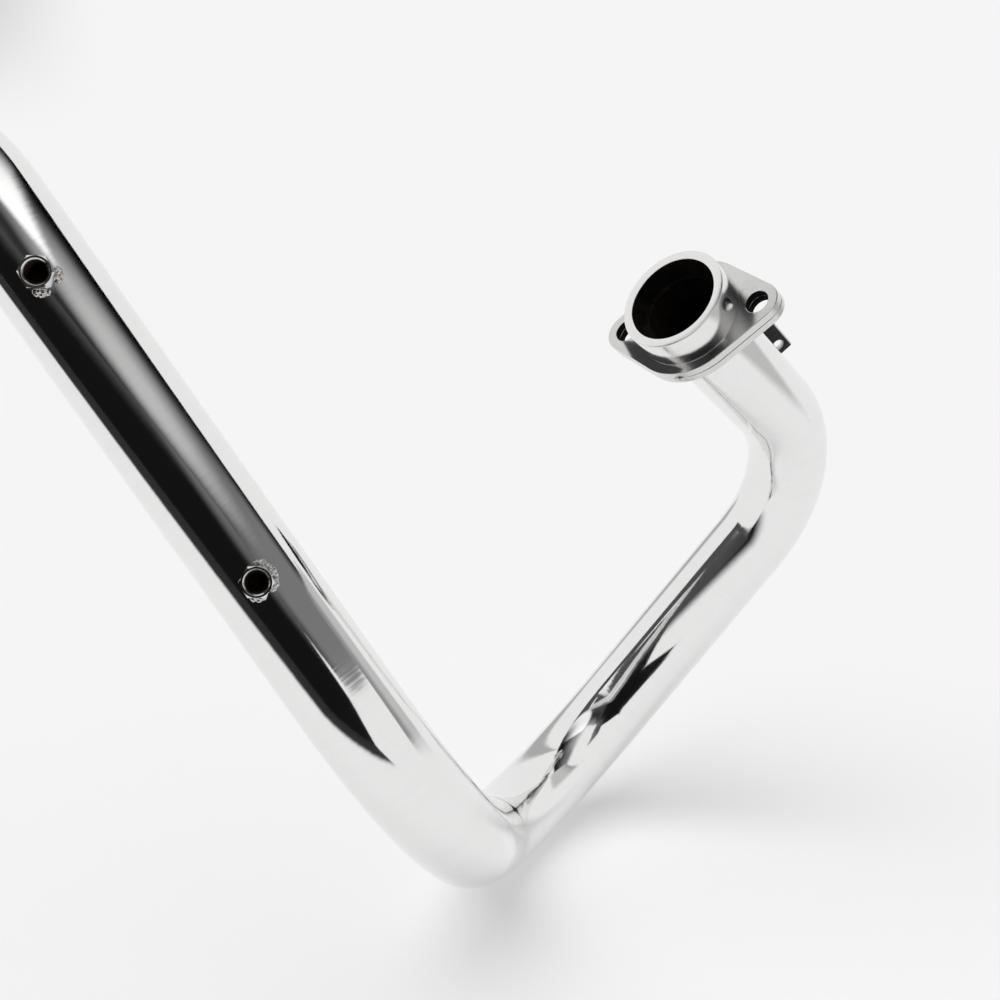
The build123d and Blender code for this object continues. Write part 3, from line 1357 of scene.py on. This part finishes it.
@dataclass(frozen=True)
class DarkRoom:
    """The dark of the room in front of the paper, in metres."""

    low: float
    high: float
    white: float
    y: float = -0.60
    left: float = -1.22
    right: float = 0.086
    level: float = 0.007
    haze: float = 0.10
    haze_top: Pair = (0.09, 0.30)
    haze_right: Pair = (-0.12, 0.03)
    haze_right_top: Pair = (0.02, 0.13)
    table_level: float = 0.03
    table_fade: float = 0.07
    paper_left: Pair = (-0.9, -0.18)
    paper_right_y: float = -0.36

    def hang(self) -> None:
        """Hang the dark and lay the table's edge that fades into it."""
        left, right, low = self.left, self.right, self.low
        paper_x, paper_y = self.paper_left
        slope = (self.paper_right_y - paper_y) / (right - paper_x)
        edge_left, edge_right = (paper_y + slope * (x - paper_x) for x in (left, right))
        across = Vector((-slope, 1.0, 0.0)).normalized()
        start = across.dot(Vector((right, edge_right, 0.0)))

        def murk(graph: Graph, point: Value) -> Value:
            """Lighten the dark a little towards the top and the right."""
            height = graph.along(point, Z_AXIS)
            side = graph.along(point, X_AXIS).ramp(*self.haze_right)
            top = self.level + self.haze * height.ramp(*self.haze_top)
            return top + self.haze * side * height.ramp(*self.haze_right_top)

        def fade(graph: Graph, point: Value) -> Value:
            """Fade from the paper's white to the dark."""
            light = graph.along(point, across).ramp(start - self.table_fade, start)
            return self.table_level + (self.white - self.table_level) * light

        wall = ((left, low), (right, low), (right, self.high), (left, self.high))
        Card("dark_room", facing(self.y), wall).hang(murk)
        table = ((left, self.y), (right, self.y), (right, edge_right), (left, edge_left))
        Card("dark_table", Matrix.Translation((0, 0, low)), table).hang(fade)


@dataclass(frozen=True)
class Softbox:
    """The softbox whose bright middle and dark border the polish mirrors, in metres."""

    height: float = 0.22
    corners: Corners = ((-0.95, -1.0), (0.37, -1.0), (0.50, 0.01), (-0.95, 0.01))
    lamp: float = 0.93
    lamp_middle: Pair = (-0.18, -0.14)
    lamp_reach: Pair = (0.13, 0.18)
    lamp_right: Pair = (-0.088, -0.060)
    cloth: float = 0.52
    cloth_y: float = -0.33
    cloth_squash: float = 0.72
    cloth_reach: Pair = (0.03, 0.23)
    front: float = 0.17
    front_depth: Pair = (-1.0, -0.62)
    front_right: Pair = (0.0, 0.25)
    left: float = 0.045
    left_reach: Pair = (-0.38, -0.22)
    least: float = 0.03
    border: float = 0.97
    border_depth: Pair = (-0.15, 0.0)
    border_right: Pair = (-0.28, -0.12)

    def _falloff(self, graph: Graph, point: Value) -> Value:
        """Fall off from the bright middle to the dark border.

        Args:
            graph: the card's graph.
            point: the point on the card.

        Returns:
            The brightness.
        """
        across = graph.along(point, X_AXIS)
        deep = graph.along(point, Y_AXIS)
        reach = graph.distance(point, Vector((*self.lamp_middle, self.height)))
        lamp = self.lamp * reach.fall(*self.lamp_reach) * across.fall(*self.lamp_right)
        squashed = graph.vector("MULTIPLY", point, (1.0, self.cloth_squash, 1.0))
        middle = Vector((0.0, self.cloth_y * self.cloth_squash, self.height))
        cloth = self.cloth * graph.distance(squashed, middle).fall(*self.cloth_reach)
        front = self.front * deep.ramp(*self.front_depth) * across.ramp(*self.front_right)
        left = self.left * across.fall(*self.left_reach)
        border = deep.ramp(*self.border_depth) * across.ramp(*self.border_right)
        return (lamp + cloth + front + left + self.least) * (1.0 - self.border * border)

    def hang(self) -> None:
        """Hang the softbox."""
        Card("softbox", Matrix.Translation((0, 0, self.height)), self.corners).hang(self._falloff)


@dataclass(frozen=True)
class Flags:
    """The white, grey and dark cards close to the pipe, in metres."""

    port: Port
    white: float
    white_y: float = -0.03
    flag: Corners = ((-0.060, -0.082), (-0.027, -0.137), (0.060, -0.160), (0.060, -0.066))
    flag_rise: Pair = (-0.016, 0.120)
    flag_fade: float = 0.034
    wing: Corners = ((-0.32, -0.135), (-0.32, 0.039), (-0.075, -0.130), (-0.080, -0.135))
    slip_x: float = 0.025
    slip: Corners = ((0.030, -0.0885), (0.050, -0.0885), (0.050, -0.0700), (0.030, -0.0700))
    grey_x: float = 0.23
    grey_flag: Corners = ((-0.155, -0.11), (0.06, -0.11), (0.06, 0.15), (-0.155, 0.15))
    grey_levels: Tuple[float, float, float] = (0.30, 0.27, 0.28)
    grey_middle: Pair = (-0.13, -0.05)
    grey_back: Pair = (0.03, 0.06)
    grey_foot: Pair = (-0.11, -0.05)
    foot_level: float = 0.88
    dark_lift_mm: float = -4.0
    dark_mm: Corners = ((-31, 1), (-19.5, 4), (-2, 20.5), (-16, 25))
    dark_level: float = 0.05
    dark_range: float = 20 * MM

    def _soften(self, graph: Graph, point: Value) -> Value:
        """Fade the white flag out at its top.

        Args:
            graph: the card's graph.
            point: the point on the card.

        Returns:
            How clear the card is.
        """
        rise_x, rise_z = self.flag_rise
        top_x, top_z = self.flag[3]
        up = Vector((rise_x, 0.0, rise_z)).normalized()
        crest = up.dot(Vector((top_x, self.white_y, top_z)))
        return graph.along(point, up).ramp(crest - self.flag_fade, crest)

    def _thin(self, graph: Graph, point: Value) -> Value:
        """Lighten the grey flag towards the back and its foot.

        Args:
            graph: the card's graph.
            point: the point on the card.

        Returns:
            The brightness.
        """
        front, middle, back = self.grey_levels
        deep = graph.along(point, Y_AXIS)
        foot = graph.along(point, Z_AXIS).fall(*self.grey_foot)
        level = front + middle * deep.ramp(*self.grey_middle) + back * deep.ramp(*self.grey_back)
        return level + foot * (self.foot_level - level)

    def _near_only(self, graph: Graph, point: Value) -> Value:
        """Leave the dark flag clear from behind and from far away, so that it only paints shade into the
        nearby plate face's reflection.

        Args:
            graph: the card's graph.
            point: the point on the card.

        Returns:
            How clear the card is.
        """
        length = graph.node("ShaderNodeLightPath", None, None, "Ray Length")
        away = graph.node("ShaderNodeMath", {"operation": "GREATER_THAN"}, {0: length, 1: self.dark_range})
        return behind(graph, point) + away

    def hang(self) -> None:
        """Hang the white cards between and beside the arms, the grey one, and the dark one at the collar that
        paints shade onto the front plate's face.
        """
        upright = facing(self.white_y)
        Card("white_flag", upright, self.flag).hang(self.white, self._soften)
        Card("white_wing", upright, self.wing).hang(self.white, behind)
        Card("white_slip", beside(self.slip_x), self.slip).hang(self.white, behind)
        Card("grey_flag", beside(self.grey_x), self.grey_flag).hang(self._thin)
        # The dark card just off the front plate's face paints shade into the face's reflection.
        dark = tuple((x * MM, y * MM) for x, y in self.dark_mm)
        Card("painted_shade_flag", self.port.face(self.dark_lift_mm), dark).hang(self.dark_level, self._near_only)


@dataclass
class Studio:
    """Pale floor, soft light, the cards that the polish mirrors and the camera, in metres and degrees."""

    floor_level: float
    port: Port
    camera_at: Tuple[float, float, float] = (-0.06864, -0.48948, 0.06234)
    camera_tilt: float = 75.0
    sensor: float = 36.0
    lens: float = 48.54
    floor_size: float = 60.0
    card_lift: float = 1.0 * MM
    pale: float = 0.913
    ambient: float = 0.10
    lit_share: float = 0.5
    sun_tilt: float = 10.8
    sun_lean: float = 17.7
    sun_spread: float = 62.0
    band: float = 0.5
    band_start: Pair = (0.27, 0.42)
    band_end: Pair = (0.62, 0.85)
    band_height: Pair = (-0.005, 0.12)
    least_ahead: float = 0.05
    floor_shade: float = 0.998

    def build(self) -> None:
        """Set up the floor, the cards, the light and the camera."""
        self._world()
        self._floor()
        softbox = Softbox()
        DarkRoom(self.floor_level + self.card_lift, softbox.height, self.pale).hang()
        softbox.hang()
        Flags(self.port, self.pale).hang()
        self._sun()
        self._camera()
        bpy.context.scene.view_settings.view_transform = "Standard"

    def _world(self) -> None:
        """Make the surroundings white to the eye and in reflections, and softer as light."""
        world = bpy.data.worlds.new("studio")
        bpy.context.scene.world = world
        world.use_nodes = True
        graph = Graph(world.node_tree)
        way = graph.node("ShaderNodeTexCoord", None, None, "Generated")
        ahead = {0: graph.along(way, Y_AXIS), 1: self.least_ahead}
        aside = graph.along(way, -X_AXIS) / graph.node("ShaderNodeMath", {"operation": "MAXIMUM"}, ahead)
        height = graph.along(way, Z_AXIS).ramp(*self.band_height)
        band = aside.ramp(*self.band_start) * aside.fall(*self.band_end) * height
        strength = (self.ambient + (1.0 - self.ambient) * self._seen(graph)) * (1.0 - self.band * band)
        light = graph.node("ShaderNodeBackground", None, {"Color": grey(self.pale), "Strength": strength})
        graph.node("ShaderNodeOutputWorld", None, {"Surface": light})

    def _seen(self, graph: Graph) -> Value:
        """Give 1 to the eye, in reflections and through clear things, and 0 as light.

        Args:
            graph: the graph that asks.

        Returns:
            The mask.
        """
        names = ("Is Camera Ray", "Is Glossy Ray", "Is Transmission Ray")
        camera, glossy, through = (graph.node("ShaderNodeLightPath", None, None, name) for name in names)
        return graph.node("ShaderNodeClamp", None, {"Value": camera + glossy + through})

    def _floor(self) -> None:
        """Lay the pale floor."""
        place = Matrix.Translation((0, 0, self.floor_level))
        floor = Workpiece("floor", place, bpy.ops.mesh.primitive_plane_add, size=self.floor_size)
        material, graph = new_graph("pale_floor")
        cloud = graph.noise(graph.place(), per_metre=3.0)
        lit = self.pale * self.lit_share
        colour = graph.mix(cloud, grey(lit), grey(lit * self.floor_shade))
        shaded = graph.node("ShaderNodeBsdfDiffuse", None, {"Color": colour})
        own = grey(self.pale * (1.0 - self.lit_share))
        plain = graph.node("ShaderNodeEmission", None, {"Color": own, "Strength": self._seen(graph)})
        graph.close(graph.node("ShaderNodeAddShader", None, {0: shaded, 1: plain}))
        floor.body.data.materials.append(material)
        floor.body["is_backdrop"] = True

    def _sun(self) -> None:
        """Add the broad soft light from above, a little from the left and the front."""
        bpy.ops.object.select_all(action="DESELECT")
        tilt, lean = math.radians(self.sun_tilt), math.radians(self.sun_lean)
        bpy.ops.object.light_add(type="SUN", rotation=(tilt, -lean, 0.0))
        lamp = bpy.context.object
        lamp.name = "broad_light"
        lamp.data.angle = math.radians(self.sun_spread)
        share = 1.0 - self.ambient * self.pale
        lamp.data.energy = math.pi * share / (math.cos(tilt) * math.cos(lean))
        lamp.visible_glossy = False

    def _camera(self) -> None:
        """Put the camera where the picture was taken."""
        bpy.ops.object.select_all(action="DESELECT")
        tilt = (math.radians(self.camera_tilt), 0.0, 0.0)
        bpy.ops.object.camera_add(location=self.camera_at, rotation=tilt)
        camera = bpy.context.object
        camera.data.sensor_width = self.sensor
        camera.data.lens = self.lens
        bpy.context.scene.camera = camera


def main() -> None:
    """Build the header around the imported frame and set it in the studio."""
    logging.basicConfig(level=logging.INFO, format="%(name)s %(message)s")
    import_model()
    cad_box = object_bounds()
    weld = WeldMetal().material()
    soot_and_hole_shade = SootyBoreAndHoleShade().material()
    port = Port()
    pipe = HeaderPipe(port)
    pipe.dress(soot_and_hole_shade)
    PortCollar(port).dress(soot_and_hole_shade)
    HeadFlange(port).dress(weld, soot_and_hole_shade)
    ShieldBosses(pipe).dress(weld)
    BracketTab(port, pipe.bends[0].run).dress(weld)
    Studio(cad_box[0][2], port).build()
    LOG.info("sizes written")


if __name__ == "__main__":
    main()
